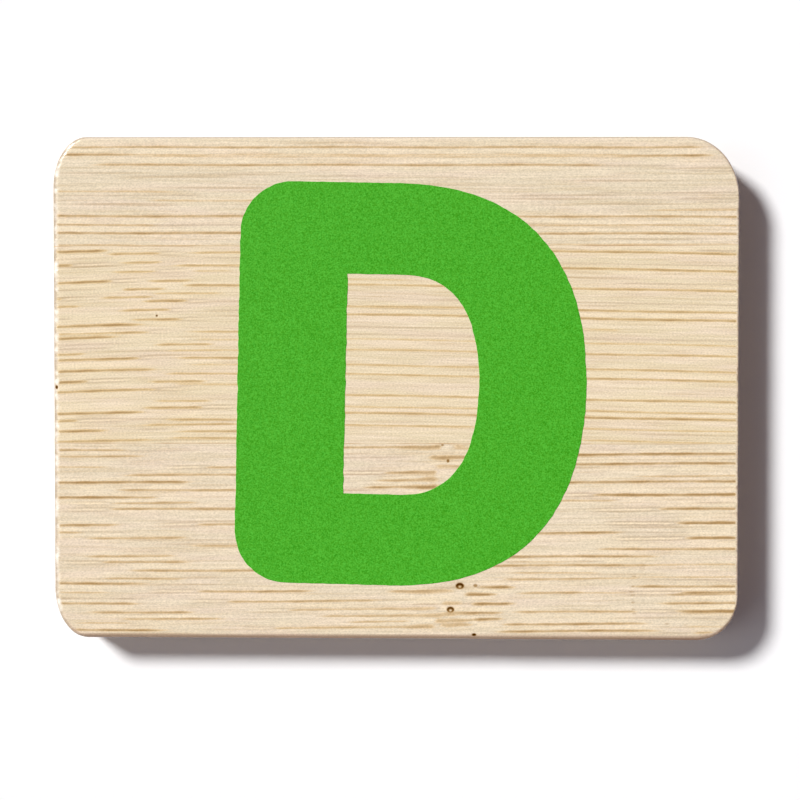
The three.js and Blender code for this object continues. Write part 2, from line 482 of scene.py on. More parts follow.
def bamboo(name, flesh, fibre_gold=FIBRE_GOLD, minor_bundles=MINOR_BUNDLES):
    """The bamboo of one strip: the colour of its flesh, with tint after tint laid over it."""
    material = bpy.data.materials.new(name)
    material.use_nodes = True
    shader = material.node_tree.nodes["Principled BSDF"]
    grain = add_node(material, "ShaderNodeAttribute", attribute_name="grain").outputs["Vector"]
    fibre, hair, edge, scar, painted_highlight, outer_grey, painted_shade = [
        add_node(material, "ShaderNodeAttribute", attribute_name=attribute).outputs["Fac"]
        for attribute in ("fibre", "hair", "edge", "scar", "painted_highlight", "outer_grey", "painted_shade")]

    sizes = {"bundle": (BUNDLE_LENGTH, BUNDLE_SPACING), "streak": (STREAK_LENGTH, STREAK_WIDTH),
             "patch": (PATCH_LENGTH, PATCH_WIDTH), "grit": (GRIT_LENGTH, GRIT_WIDTH)}
    spread = {use: add_node(material, "ShaderNodeVectorMath",
                            {0: grain, 1: (1 / length, 1 / width, 1 / width)},
                            operation="MULTIPLY").outputs[0]
              for use, (length, width) in sizes.items()}
    streak, patch, grit = [
        add_node(material, "ShaderNodeTexNoise",
                 {"Vector": spread[use], "Scale": 1.0, "Detail": detail}).outputs["Fac"]
        for use, detail in (("streak", 3.0), ("patch", 1.0), ("grit", 1.0))]
    bundle = add_node(material, "ShaderNodeTexVoronoi",
                      {"Vector": spread["bundle"], "Scale": 1.0}).outputs["Distance"]

    # Each tint: what it follows, the levels of that at which it starts and is full, and its most.
    levels = {"rosy": (patch, 0.45, 0.65, 0.45), "shade": (streak, 0.5, 0.75, 0.6),
              "pale": (streak, 0.48, 0.25, 0.8), "minor": (bundle, 0.28, 0.1, minor_bundles),
              "dots": (bundle, 0.34, 0.14, 0.6), "gold": (fibre, 0.0, 0.4, 1.0),
              "core": (fibre, 0.3, 1.0, 1.0), "brown": (edge, 0.0, 1.0, EDGE_STAIN),
              "stain": (scar, 0.0, 0.5, 1.0), "hole": (scar, 0.4, 0.9, 1.0)}
    tint = {use: add_node(material, "ShaderNodeMapRange",
                          {"Value": value, "From Min": start, "From Max": full,
                           "To Max": most}).outputs[0]
            for use, (value, start, full, most) in levels.items()}
    unstained = add_node(material, "ShaderNodeMath", {0: edge, 1: -EDGE_STAIN, 2: 1.0},
                         operation="MULTIPLY_ADD").outputs[0]
    for use, where in (("dots", edge), ("rosy", unstained), ("pale", unstained)):
        tint[use] = add_node(material, "ShaderNodeMath", {0: tint[use], 1: where},
                             operation="MULTIPLY").outputs[0]
    sheath = add_node(material, "ShaderNodeMath", {0: fibre, 1: -SHEATH_PALENESS},
                      operation="MULTIPLY").outputs[0]
    tone = linear(flesh)
    # The last three tints are painted shade on the right and bottom rims, and a grey outer rim and a
    # painted highlight at the left and top.
    for share, colour in ((tint["brown"], EDGE_TAN), (tint["rosy"], FLESH_ROSY),
                          (tint["shade"], FLESH_SHADE), (tint["pale"], FLESH_PALE),
                          (tint["minor"], FIBRE_OCHRE), (tint["dots"], BUNDLE_BROWN),
                          (sheath, FIBRE_SHEATH), (tint["gold"], fibre_gold),
                          (tint["core"], FIBRE_OCHRE), (hair, HAIR_TAUPE),
                          (painted_shade, SHADE_BROWN), (outer_grey, OUTER_RIM_GREY), (painted_highlight, HIGHLIGHT_WHITE)):
        tone = add_node(material, "ShaderNodeMix",
                        {MIX_SHARE: share, MIX_UNDER: tone, MIX_OVER: linear(colour)},
                        data_type="RGBA").outputs[MIX_RESULT]
    mottle = add_node(material, "ShaderNodeMapRange",
                      {"Value": grit, "From Min": 0.25, "From Max": 0.75,
                       "To Min": 1 - MOTTLE, "To Max": 1 + MOTTLE}).outputs[0]
    tone = add_node(material, "ShaderNodeVectorMath", {0: tone, "Scale": mottle},
                    operation="SCALE").outputs[0]
    for share, colour in ((tint["stain"], SCAR_AMBER), (tint["hole"], SCAR_BROWN)):
        tone = add_node(material, "ShaderNodeMix",
                        {MIX_SHARE: share, MIX_UNDER: tone, MIX_OVER: linear(colour)},
                        data_type="RGBA").outputs[MIX_RESULT]

    height = add_node(material, "ShaderNodeMath", {0: streak, 1: grit}, operation="ADD").outputs[0]
    bump = add_node(material, "ShaderNodeBump",
                    {"Height": height, "Strength": RELIEF_STRENGTH,
                     "Distance": GRAIN_RELIEF * MM}).outputs[0]
    satin = add_node(material, "ShaderNodeMapRange",
                     {"Value": streak, "From Min": 0.3, "From Max": 0.7,
                      "To Min": LACQUER_ROUGHNESS[0], "To Max": LACQUER_ROUGHNESS[1]}).outputs[0]
    polish = add_node(material, "ShaderNodeMapRange",
                      {"Value": scar, "From Max": 0.5, "To Min": LACQUER_GLOSS, "To Max": 0.0}).outputs[0]
    links = material.node_tree.links
    links.new(tone, shader.inputs["Base Color"])
    links.new(satin, shader.inputs["Roughness"])
    links.new(bump, shader.inputs["Normal"])
    links.new(polish, shader.inputs["Specular IOR Level"])
    return material


def straight(x):
    """Grain that runs true along a strip."""
    return 0.0 * x


BACK_ROW = 0.12
BACK_STEPS = 70
BACK_BUNDLES_PER_MM = 2.3
BACK_STARTS = (-42, 30)
BACK_LENGTHS = (5, 20)
BACK_BOLDNESS = (0.3, 0.9)
BACK_TAILS = [0, 0, -4, 4]
BACK_FLESH = ["#EAD8BA", "#E6D2B0", "#E9D6B6"]
BACK_SEED = 5

back_grain = random.Random(BACK_SEED)
for number, flesh in enumerate(BACK_FLESH, start=1):
    node = f"back_strip_{number}"
    low, high = box_of(node)
    bundles = []
    for count in range(round(BACK_BUNDLES_PER_MM * (high.y - low.y))):
        start = back_grain.uniform(*BACK_STARTS)
        length = back_grain.uniform(*BACK_LENGTHS)
        bundles.append((start, start + length, back_grain.uniform(low.y, high.y),
                        back_grain.uniform(*BACK_BOLDNESS), back_grain.choice(BACK_TAILS)))
    strip = saw_out(low, high)
    comb(strip, BACK_ROW, BACK_STEPS)
    material = bamboo(f"back_bamboo_lacquered_{number}", flesh)
    piece = add_piece(f"{node}_bamboo", strip, material)
    grow_grain(piece, number, straight, bundles)
    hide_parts(node)


# Core ply
# Four strips across the tile that keep it flat. They show only in the tile's edges: end grain with
# its dots above and below the letter, and side grain at the left and right.

CORE_FLESH = ["#DCC49C", "#E0C9A3", "#D9BF95", "#DFC79F"]
CORE_BUNDLES = 0.6
CORE_CANE = 4

for number, flesh in enumerate(CORE_FLESH, start=1):
    node = f"core_strip_{number}"
    material = bamboo(f"core_bamboo_sawn_{number}", flesh, minor_bundles=CORE_BUNDLES)
    piece = add_piece(f"{node}_bamboo", saw_out(*box_of(node)), material)
    grow_grain(piece, CORE_CANE + number, straight, across=True)
    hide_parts(node)


# Front ply
# Three strips along the tile, the face that the letter is printed on. The cane's fibre bundles and
# the growth nodes, where they thicken and end, are set out here as the photograph shows them.

FRONT_ROW = 0.06
FRONT_STEPS = 110
FRONT_CANE = 10

# How the grain of each strip runs: its slope, or the size, place and spread of a bend, in mm.
UPPER_SLOPE = -0.0038
MIDDLE_BOW = 0.26
BOW_PLACE = -19
BOW_SPREAD = 13
MIDDLE_DIP = 0.09
DIP_PLACE = -24
DIP_SPREAD = 4
LOWER_SLOPE = 0.003
LOWER_RISE = 0.22
RISE_PLACE = 3
RISE_SPREAD = 20


def upper_lift(x):
    """Grain that falls a little towards the right."""
    return UPPER_SLOPE * x


def middle_lift(x):
    """Grain that bows over the left half of the tile and dips at its left end."""
    bow = MIDDLE_BOW * np.log(np.cosh((x - BOW_PLACE) / BOW_SPREAD))
    dip = MIDDLE_DIP * np.log1p(np.exp((DIP_PLACE - x) / DIP_SPREAD))
    return -bow - dip


def lower_lift(x):
    """Grain that rises towards the right, most of all in the middle."""
    return LOWER_SLOPE * x + LOWER_RISE * np.tanh((x - RISE_PLACE) / RISE_SPREAD)


# Each bundle: where it starts and ends, its height, how bold it is, and the length of its frayed
# tail, to the left where that is negative.
UPPER_BUNDLES = [
    (-33.2, 30.4, 23.82, 0.70, 0), (-33.4, -25.8, 23.16, 0.87, 0), (-26.4, 23.5, 23.13, 0.46, 0),
    (-26.4, 23.5, 22.87, 0.46, 0), (22.5, 31.4, 22.93, 0.84, 0), (-30.0, 20.5, 22.08, 0.74, 0),
    (17.0, 27.6, 21.95, 0.30, 0), (-8.0, 6.0, 20.98, 0.24, 0), (-36.0, -21.5, 19.53, 0.46, 0),
    (-36.0, -19.0, 19.15, 0.37, 0), (-24.5, -8.0, 18.59, 0.46, 0), (-37.0, -8.0, 17.11, 0.78, 0),
    (8.0, 37.0, 16.96, 0.75, 0), (-36.0, -23.5, 16.24, 0.69, 0), (-25.0, -10.0, 16.19, 0.37, 0),
    (12.0, 37.0, 16.08, 0.60, 0), (-36.5, -8.0, 15.40, 0.84, 0), (10.0, 37.0, 15.22, 0.78, 0),
    (28.0, 34.5, 21.36, 0.32, 0), (19.5, 37.0, 19.26, 0.37, 0), (12.0, 22.5, 19.03, 0.32, 0),
    (27.5, 37.0, 18.61, 0.37, 0), (29.5, 37.0, 18.31, 0.32, 0), (25.0, 37.0, 17.51, 0.52, 0),
    (-36.0, -15.0, 14.20, 0.60, 0), (15.0, 37.0, 14.19, 0.41, 0),
]
MIDDLE_BUNDLES = [
    (-36.0, -28.6, 13.57, 0.94, 0), (-28.5, -23.0, 13.35, 0.75, 2.5), (-20.5, -12.0, 13.47, 0.56, 0),
    (-19.3, -12.0, 12.97, 0.38, 0), (-36.0, -31.9, 12.14, 0.80, 4.5), (-27.3, -23.2, 12.54, 0.66, 0),
    (-22.0, -13.0, 12.24, 0.66, 0), (-28.0, -23.4, 11.62, 0.70, 3.5), (-20.2, -16.2, 11.65, 0.52, 0),
    (-36.0, -27.9, 10.51, 0.94, 2.8), (-24.5, -20.3, 10.71, 0.80, 0), (-21.3, -13.0, 10.25, 0.75, 0),
    (-27.0, -22.8, 9.83, 0.80, 0), (-24.5, -17.0, 9.45, 0.56, 0), (-29.2, -23.8, 9.05, 0.70, 0),
    (-36.0, -33.0, 8.78, 0.80, 2.2), (-25.0, -20.3, 8.63, 0.85, 2.5), (-36.0, -31.3, 8.05, 0.70, 0),
    (-27.3, -22.1, 7.71, 0.80, 2.0), (-19.0, -12.0, 7.78, 0.33, 0), (-26.3, -20.9, 6.85, 0.80, 2.5),
    (-36.0, -32.2, 6.83, 0.38, 0), (-36.5, -24.9, 6.15, 0.94, 0), (-36.5, -24.0, 5.47, 0.70, 2.0),
    (-20.5, -12.0, 5.63, 0.61, 0), (-37.0, -27.2, 4.94, 0.94, 0), (-20.0, -12.0, 4.87, 0.42, 0),
    (-23.8, -18.0, 4.35, 0.75, 0), (-36.0, -26.0, 4.30, 0.30, 0), (-23.0, -12.0, 3.77, 0.47, 0),
    (-36.5, -30.8, 3.31, 0.75, 0), (-37.0, -25.1, 2.87, 0.89, 1.8), (-21.8, -10.0, 3.04, 0.75, 0),
    (-20.8, -12.0, 2.34, 0.47, 0), (-34.6, -23.9, 1.71, 0.89, 0), (-22.8, -10.0, 1.44, 0.61, 0),
    (-36.0, -30.4, 0.59, 0.94, 4.5), (-24.3, -18.7, 0.72, 0.80, 0), (-22.0, -12.0, 0.39, 0.52, 0),
    (-37.0, -23.4, -0.31, 0.80, 3.0), (-23.8, -18.2, -1.25, 0.61, 0), (-25.0, -18.9, -1.88, 0.89, 3.5),
    (-37.0, -25.0, -2.57, 0.94, 0), (-36.0, -31.4, -3.35, 0.85, 5.0), (-23.0, -15.0, -3.15, 0.80, 0),
    (-25.0, -15.0, -3.62, 0.75, 0), (-37.0, -28.8, -4.40, 0.89, 0), (-25.5, -22.4, -4.10, 0.33, 0),
    (-22.0, -12.0, -4.30, 0.66, 0), (-22.5, -12.0, -4.93, 0.66, 0), (-10.0, 2.0, 10.83, 0.45, 0),
    (-10.0, 12.0, 6.03, 0.35, 0), (-10.0, 12.0, 8.83, 0.24, 0), (-12.0, 15.0, 10.14, 0.61, 0),
    (13.0, 37.0, 9.68, 0.71, 0), (-12.0, 15.0, 8.07, 0.64, 0), (13.0, 37.0, 7.61, 0.75, 0),
    (-12.0, 15.0, 7.22, 0.73, 0), (13.0, 37.0, 6.76, 0.85, 0), (-12.0, 15.0, 3.71, 0.56, 0),
    (13.0, 37.0, 3.25, 0.66, 0), (-12.0, 15.0, 2.25, 0.56, 0), (13.0, 37.0, 1.79, 0.66, 0),
    (-12.0, 15.0, 1.32, 0.61, 0), (13.0, 37.0, 0.86, 0.71, 0), (-12.0, 15.0, -0.77, 0.61, 0),
    (13.0, 37.0, -1.23, 0.71, 0), (-12.0, 15.0, -1.94, 0.56, 0), (13.0, 37.0, -2.40, 0.66, 0),
    (-12.0, 15.0, -2.57, 0.74, 0), (13.0, 37.0, -3.03, 0.87, 0), (-12.0, 15.0, -3.71, 0.58, 0),
    (13.0, 37.0, -4.13, 0.46, 0), (-12.0, 15.0, 4.77, 0.40, 0), (13.0, 37.0, 4.31, 0.46, 0),
    (-12.0, 15.0, 5.30, 0.28, 0), (13.0, 37.0, 4.84, 0.33, 0), (10.0, 37.0, 13.37, 0.77, 0),
    (10.0, 37.0, 11.74, 0.77, 0), (14.0, 37.0, 12.19, 0.28, 0), (22.0, 37.0, 10.25, 0.37, 0),
    (14.0, 37.0, 8.33, 0.32, 0), (18.5, 22.3, 5.81, 0.40, 0), (29.5, 37.0, 13.57, 0.32, 0),
    (14.0, 37.0, -5.27, 0.51, 0), (-36.0, -24.0, -5.30, 0.70, 0), (-36.0, -28.0, 3.90, 0.28, 0),
    (-33.8, -29.5, 9.76, 0.32, 0),
]
LOWER_BUNDLES = [
    (-36.0, -26.5, -6.25, 0.80, 0), (-27.0, -19.5, -6.24, 0.35, 0), (-36.0, -25.0, -6.85, 0.70, 0),
    (-36.0, -28.5, -7.94, 0.50, 0), (-19.2, -10.0, -7.86, 0.85, -4.0), (-27.0, -14.0, -8.69, 0.75, 0),
    (-37.0, -20.5, -9.38, 1.00, 0), (-28.0, -15.0, -10.14, 0.75, 0), (-37.0, -23.5, -10.91, 1.00, 0),
    (-29.0, -19.5, -11.48, 0.80, -3.5), (-28.8, -13.0, -12.08, 0.80, -4.5),
    (-36.0, -27.5, -13.68, 0.85, 0), (-20.0, -10.0, -13.53, 0.75, -4.0),
    (-36.0, -31.0, -14.43, 0.80, 0), (-32.0, -26.0, -14.38, 0.30, 0), (-30.8, -20.5, -15.00, 0.70, 0),
    (-20.3, -10.0, -15.66, 0.75, 0), (-31.0, -21.5, -16.82, 0.75, 0),
    (-29.5, -20.5, -17.42, 0.80, -4.0), (-26.5, -10.0, -18.22, 0.75, 0),
    (-29.5, -21.0, -19.02, 0.75, 0), (-37.0, -24.5, -19.58, 0.95, 0), (-36.0, -28.5, -20.42, 0.50, 0),
    (-19.9, -8.0, -20.24, 0.80, -5.0), (-36.0, -25.0, -21.07, 0.35, 0),
    (-36.0, -25.5, -21.59, 0.80, 0), (-17.0, -1.5, -21.19, 0.75, -4.0),
    (-30.5, -20.0, -22.39, 0.80, 0), (-27.6, -17.0, -23.04, 0.75, 0), (-32.5, -26.0, -23.51, 0.50, 0),
    (-34.0, -22.7, -24.21, 0.90, 0), (-11.0, 4.5, -22.04, 0.62, -3.0), (-7.5, 6.0, -22.66, 0.70, 0),
    (-4.8, 1.8, -23.26, 0.65, 0), (-12.5, 4.2, -23.86, 0.66, -3.0), (-0.6, 6.0, -20.12, 0.72, 0),
    (1.8, 4.2, -21.52, 0.38, 0), (4.7, 6.6, -21.40, 0.65, 0), (7.0, 10.1, -20.50, 0.98, 0),
    (8.3, 11.8, -19.76, 1.12, 0), (7.8, 11.8, -21.37, 1.07, 0), (5.0, 10.7, -22.27, 0.92, 0),
    (7.8, 10.8, -22.89, 1.01, 0), (3.9, 8.0, -23.08, 0.78, 0), (4.6, 7.9, -23.52, 0.72, 0),
    (-10.0, 4.7, -5.86, 0.75, 0), (5.7, 8.2, -5.96, 0.56, 0), (-10.0, 2.0, -6.92, 0.35, 0),
    (3.3, 7.5, -6.81, 0.80, 0), (3.8, 7.2, -7.69, 0.60, 0), (-1.2, 4.3, -8.32, 0.95, -5.0),
    (-2.0, 4.5, -9.11, 0.85, 0), (-3.0, 4.5, -9.81, 0.95, 0), (2.4, 4.3, -9.84, 0.45, 0),
    (5.6, 8.2, -5.66, 0.42, 0), (14.0, 37.0, -6.47, 1.01, 0),
    (14.0, 37.0, -7.06, 0.32, 0), (14.0, 37.0, -7.42, 0.96, 0), (23.5, 37.0, -8.66, 0.64, 0),
    (12.0, 37.0, -9.21, 0.91, 0), (19.3, 37.0, -10.49, 1.07, -3.0), (14.0, 22.5, -11.13, 0.59, 0),
    (29.5, 37.0, -11.28, 0.37, 0), (25.8, 36.5, -11.93, 0.91, -7.0), (27.5, 37.0, -13.30, 1.07, -7.0),
    (10.0, 22.5, -14.30, 0.91, 0), (21.0, 29.5, -14.23, 0.32, 0), (28.5, 37.0, -14.80, 1.01, -7.0),
    (20.0, 37.0, -15.91, 0.80, 0), (8.0, 26.0, -16.69, 0.86, 0), (10.0, 20.5, -17.17, 0.53, 0),
    (8.0, 25.3, -17.55, 0.84, 0), (24.5, 37.0, -17.45, 0.50, 0), (11.0, 20.5, -18.27, 0.53, 0),
    (10.8, 19.8, -18.87, 0.74, 0), (19.0, 24.6, -18.84, 0.46, 0), (23.8, 36.0, -18.67, 0.47, 0),
    (23.6, 37.0, -19.60, 0.88, 0), (24.2, 36.0, -18.93, 0.38, 0), (28.9, 33.2, -23.59, 0.40, 0),
    (29.7, 31.6, -24.10, 0.60, 0), (12.2, 18.8, -20.32, 0.74, 0), (18.4, 23.6, -20.24, 0.44, 0),
    (27.8, 37.0, -20.19, 0.84, -6.0), (26.8, 37.0, -20.37, 0.80, 0), (26.2, 37.0, -21.27, 0.86, 0),
    (11.8, 24.5, -22.12, 0.70, 0), (27.5, 36.0, -22.00, 0.82, -4.0), (28.2, 36.0, -22.16, 0.76, 0),
    (10.6, 25.0, -23.37, 0.91, 0), (10.3, 26.2, -24.06, 0.91, 0), (29.5, 33.4, -22.76, 0.39, 0),
    (26.0, 29.6, -24.21, 0.38, 0),
]
# Each bud scar: its middle, its half width and height, how dark it is, and whether it is a ring
# round a golden eye. The faint ones at the right, one below another, are the ring of a growth node.
MIDDLE_SCARS = [(-33.72, 0.08, 0.12, 0.17, 0.85, 0), (-23.65, 7.2, 0.09, 0.09, 0.8, 0)]
LOWER_SCARS = [
    (6.51, -19.64, 0.38, 0.29, 1.00, 1), (5.58, -22.00, 0.34, 0.27, 0.90, 1),
    (8.05, -19.59, 0.20, 0.15, 0.42, 0), (7.92, -24.49, 0.20, 0.13, 0.90, 0),
    (4.78, -5.64, 0.13, 0.11, 0.42, 0), (5.33, -7.21, 0.13, 0.17, 0.52, 0),
    (24.57, -17.68, 0.28, 0.42, 0.08, 0), (23.72, -18.61, 0.20, 0.08, 0.22, 0),
    (23.64, -19.62, 0.16, 0.09, 0.24, 0), (23.50, -20.15, 0.26, 0.07, 0.22, 0),
    (23.62, -20.46, 0.20, 0.07, 0.20, 0), (23.64, -21.21, 0.17, 0.10, 0.22, 0),
    (23.69, -21.89, 0.16, 0.08, 0.20, 0), (23.75, -22.30, 0.20, 0.07, 0.20, 0),
    (26.99, -23.31, 0.22, 0.08, 0.22, 0), (28.84, -23.41, 0.20, 0.08, 0.14, 0),
]
LOWER_NODE = 4.3

# Each strip: its node, its flesh and gold, how its grain runs, its bundles, growth node and scars.
FRONT_STRIPS = [
    ("front_strip_1", "#E5D6B9", "#E5CBA1", upper_lift, UPPER_BUNDLES, FAR_OFF, []),
    ("front_strip_2", "#E8D7B4", "#E6CB9A", middle_lift, MIDDLE_BUNDLES, FAR_OFF, MIDDLE_SCARS),
    ("front_strip_3", "#E6D6B9", "#E5CBA1", lower_lift, LOWER_BUNDLES, LOWER_NODE, LOWER_SCARS),
]
SCAR_MARGIN = 0.4


def refine(strip, x, y, half_x, half_y):
    """Cuts the rows of the face and the rim as fine along as across, round a scar."""
    reach_x = half_x + SCAR_MARGIN
    reach_y = half_y + SCAR_MARGIN
    near = []
    for face in strip.faces:
        middle = face.calc_center_median()
        if middle.z < tile_high.z - EDGE_ROUNDING or abs(middle.y - y) > reach_y:
            continue
        run = [vert.co.x for vert in face.verts]
        if min(run) < x + reach_x and max(run) > x - reach_x:
            near += [face, *face.edges, *face.verts]
    near = list(dict.fromkeys(near))
    cuts = round(2 * reach_x / FRONT_ROW)
    for count in range(cuts + 1):
        near = cut(strip, 0, x - reach_x + count * FRONT_ROW, geometry=near)


for number, (node, flesh, gold, lift, bundles, growth_node, scars) in enumerate(FRONT_STRIPS, start=1):
    strip = saw_out(*box_of(node))
    comb(strip, FRONT_ROW, FRONT_STEPS)
    for scar_x, scar_y, half_x, half_y, weight, ring in scars:
        refine(strip, scar_x, scar_y, half_x, half_y)
    sand(strip)
    for inset in (BARE_END, BARE_END + BARE_FADE):
        cut(strip, 0, tile_low.x + inset)
        cut(strip, 0, tile_high.x - inset)
    material = bamboo(f"front_bamboo_lacquered_{number}", flesh, gold)
    piece = add_piece(f"{node}_bamboo", strip, material)
    grow_grain(piece, FRONT_CANE + number, lift, bundles, growth_node, scars)
    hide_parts(node)


# Glue lines
# The cured resin between the strips and between the plies, a tenth of a millimetre thick. It fills
# the joints flush and shows as a thin tan line in the sawn edges and, on the face, where it is
# starved or has drawn dirt.

GLUE_TAN = "#B98F5C"
GLUE_CLEAR = "#E3CFAC"
GLUE_SAWN = "#AD8A5F"
GLUE_PATCH = 6.0
GLUE_ROUGHNESS = 0.4
SAWN_START = 0.1
SAWN_FULL = 0.3

# Each ply: its name, how many strips it has, and the axis across its joints.
PLIES = [("back", len(BACK_FLESH), 1), ("core", len(CORE_FLESH), 0), ("front", len(FRONT_STRIPS), 1)]

glue_lines = bmesh.new()
joints = []
for ply, count, axis in PLIES:
    for number in range(1, count):
        boxes = sorted((box_of(f"{ply}_strip_{n}") for n in (number, number + 1)),
                       key=lambda corners: corners[0][axis])
        low, high = boxes[0][0].copy(), boxes[1][1].copy()
        low[axis], high[axis] = boxes[0][1][axis], boxes[1][0][axis]
        joints.append((low, high))
for below, above in (("back_strip_2", "core_strip_2"), ("core_strip_2", "front_strip_2")):
    low, high = tile_low.copy(), tile_high.copy()
    low.z, high.z = box_of(below)[1].z, box_of(above)[0].z
    joints.append((low, high))
for low, high in joints:
    film = saw_out(low, high)
    sand(film)
    film_mesh = bpy.data.meshes.new("glue_film")
    film.to_mesh(film_mesh)
    film.free()
    glue_lines.from_mesh(film_mesh)
    bpy.data.meshes.remove(film_mesh)

# Cured adhesive, amber and clear by turns, in patches some 6 mm long.
resin = bpy.data.materials.new("cured_wood_glue")
resin.use_nodes = True
resin_shader = resin.node_tree.nodes["Principled BSDF"]
resin_place = add_node(resin, "ShaderNodeTexCoord").outputs["Object"]
starved = add_node(resin, "ShaderNodeTexNoise",
                   {"Vector": resin_place, "Scale": 1 / (GLUE_PATCH * MM),
                    "Detail": 3.0}).outputs["Fac"]
starved = add_node(resin, "ShaderNodeMapRange",
                   {"Value": starved, "From Min": 0.4, "From Max": 0.65}).outputs[0]
amber = add_node(resin, "ShaderNodeMix",
                 {MIX_SHARE: starved, MIX_UNDER: linear(GLUE_CLEAR), MIX_OVER: linear(GLUE_TAN)},
                 data_type="RGBA").outputs[MIX_RESULT]
resin_height = add_node(resin, "ShaderNodeSeparateXYZ", {0: resin_place}).outputs["Z"]
sawn = add_node(resin, "ShaderNodeMapRange",
                {"Value": resin_height, "From Min": (tile_high.z - SAWN_START) * MM,
                 "From Max": (tile_high.z - SAWN_FULL) * MM}).outputs[0]
amber = add_node(resin, "ShaderNodeMix",
                 {MIX_SHARE: sawn, MIX_UNDER: amber, MIX_OVER: linear(GLUE_SAWN)},
                 data_type="RGBA").outputs[MIX_RESULT]
resin.node_tree.links.new(amber, resin_shader.inputs["Base Color"])
resin_shader.inputs["Roughness"].default_value = GLUE_ROUGHNESS
add_piece("glue_lines", glue_lines, resin)


# Letter print
# One pass of green screen ink, a plain bold capital D with rounded left corners. It was laid on
# slightly turned, and it is a film with soft edges that takes its mottle from the mesh.

LETTER_WIDTH = 34.6
LETTER_HEIGHT = 39.9
STEM_WIDTH = 10.75
BAR_HEIGHT = 9.05
BOWL_WIDTH = 10.6
LETTER_CORNER_RADIUS = 5.2
BAR_STRAIGHT = 15.7
COUNTER_STRAIGHT = 16.5
LETTER_SHIFT = Vector((1.7, 0.3, 0))
LETTER_TURN = math.radians(-1.25)

# How far the bowl's curve keeps its first direction, as a share of its depth and half height, and
# the handle of a quarter circle, as a share of its radius.
BOWL_REACH = 0.685
BOWL_RISE = 0.625
ARC_HANDLE = 0.5523

# The film of ink and its soft edge, and how the outline strays where the ink crept.
INK_FILM = 0.03
INK_EDGE = 0.02
INK_RAG_ALONG = 0.07
INK_RAG_ACROSS = 0.035
INK_RAG_WAVE = 0.7
INK_RAG_STEP = 0.2
RAG_APART = Vector((9, 9, 9))
OUTLINE_STEPS = 32
STEEP_NORMAL = 0.5
INK_SMOOTH_ANGLE = math.radians(10)


def add_outline(curve, corner, start, right, top):
    """Adds a closed outline: the knots of a lower left corner, a bar, a bowl, and the same above.
    A knot is a point between its two handles."""
    reach = start + BOWL_REACH * (right - start)
    rise = BOWL_RISE * top
    lower = corner + [((start, -top), (start, -top), (reach, -top))]
    upper = [tuple((x, -y) for x, y in reversed(knot)) for knot in reversed(lower)]
    knots = lower + [((right, -rise), (right, 0), (right, rise))] + upper
    spline = curve.splines.new("BEZIER")
    spline.bezier_points.add(len(knots) - 1)
    for point, knot in zip(spline.bezier_points, knots):
        point.handle_left, point.co, point.handle_right = [(x, y, 0) for x, y in knot]
    spline.use_cyclic_u = True


left = -LETTER_WIDTH / 2
right = LETTER_WIDTH / 2
top = LETTER_HEIGHT / 2
radius = LETTER_CORNER_RADIUS
handle = radius * (1 - ARC_HANDLE)
ink_bottom = box_of("letter_print")[0].z

outline = bpy.data.curves.new("letter_outline", "CURVE")
outline.dimensions = "2D"
outline.fill_mode = "NONE"
outline.resolution_u = OUTLINE_STEPS
outer_corner = [((left, radius - top), (left, radius - top), (left, handle - top)),
                ((left + handle, -top), (left + radius, -top), (left + radius, -top))]
add_outline(outline, outer_corner, left + BAR_STRAIGHT, right, top)
counter_corner = [((left + STEM_WIDTH, BAR_HEIGHT - top),) * 3]
add_outline(outline, counter_corner, left + COUNTER_STRAIGHT, right - BOWL_WIDTH, top - BAR_HEIGHT)

outline_object = bpy.data.objects.new("letter_outline", outline)
outline_mesh = bpy.data.meshes.new_from_object(outline_object)
letter = bmesh.new()
letter.from_mesh(outline_mesh)
bpy.data.objects.remove(outline_object)
bpy.data.meshes.remove(outline_mesh)
bmesh.ops.remove_doubles(letter, verts=letter.verts, dist=SAW_SLACK)
long_edges = letter.edges[:]
while long_edges:
    bmesh.ops.subdivide_edges(letter, edges=long_edges, cuts=1)
    long_edges = [edge for edge in letter.edges if edge.calc_length() > INK_RAG_STEP]
bmesh.ops.rotate(letter, cent=(0, 0, 0), matrix=Matrix.Rotation(LETTER_TURN, 3, "Z"), verts=letter.verts)
bmesh.ops.translate(letter, vec=LETTER_SHIFT + Vector((0, 0, ink_bottom)), verts=letter.verts)
for vert in letter.verts:
    spot = vert.co / INK_RAG_WAVE
    vert.co.x += INK_RAG_ALONG * noise.noise(spot)
    vert.co.y += INK_RAG_ACROSS * noise.noise(spot + RAG_APART)
bmesh.ops.triangle_fill(letter, edges=letter.edges[:], use_beauty=True, normal=(0, 0, 1))
film = bmesh.ops.extrude_face_region(letter, geom=letter.faces[:], use_keep_orig=True)["geom"]
film_verts = [item for item in film if isinstance(item, bmesh.types.BMVert)]
bmesh.ops.translate(letter, vec=(0, 0, INK_FILM), verts=film_verts)
rim = [edge for edge in letter.edges
       if all(vert.co.z > ink_bottom + INK_FILM / 2 for vert in edge.verts)
       and any(abs(face.normal.z) < STEEP_NORMAL for face in edge.link_faces)]
bmesh.ops.bevel(letter, geom=rim, offset=INK_EDGE, segments=2, profile=0.5, affect="EDGES", material=-1)

# Screen ink, dried matt. Pigment grains and the weave of the mesh mottle the green by a few levels
# in spots of about 0.13 mm, some yellower and some bluer, and leave a faint orange-peel skin.
INK_DEEP = "#2F9104"
INK_BRIGHT = "#58C138"
INK_YELLOW = "#54A81B"
INK_SPOT = 0.13
INK_BLOTCH = 0.3
INK_SKIN = 0.01
INK_ROUGHNESS = 0.6
INK_GLOSS = 0.1

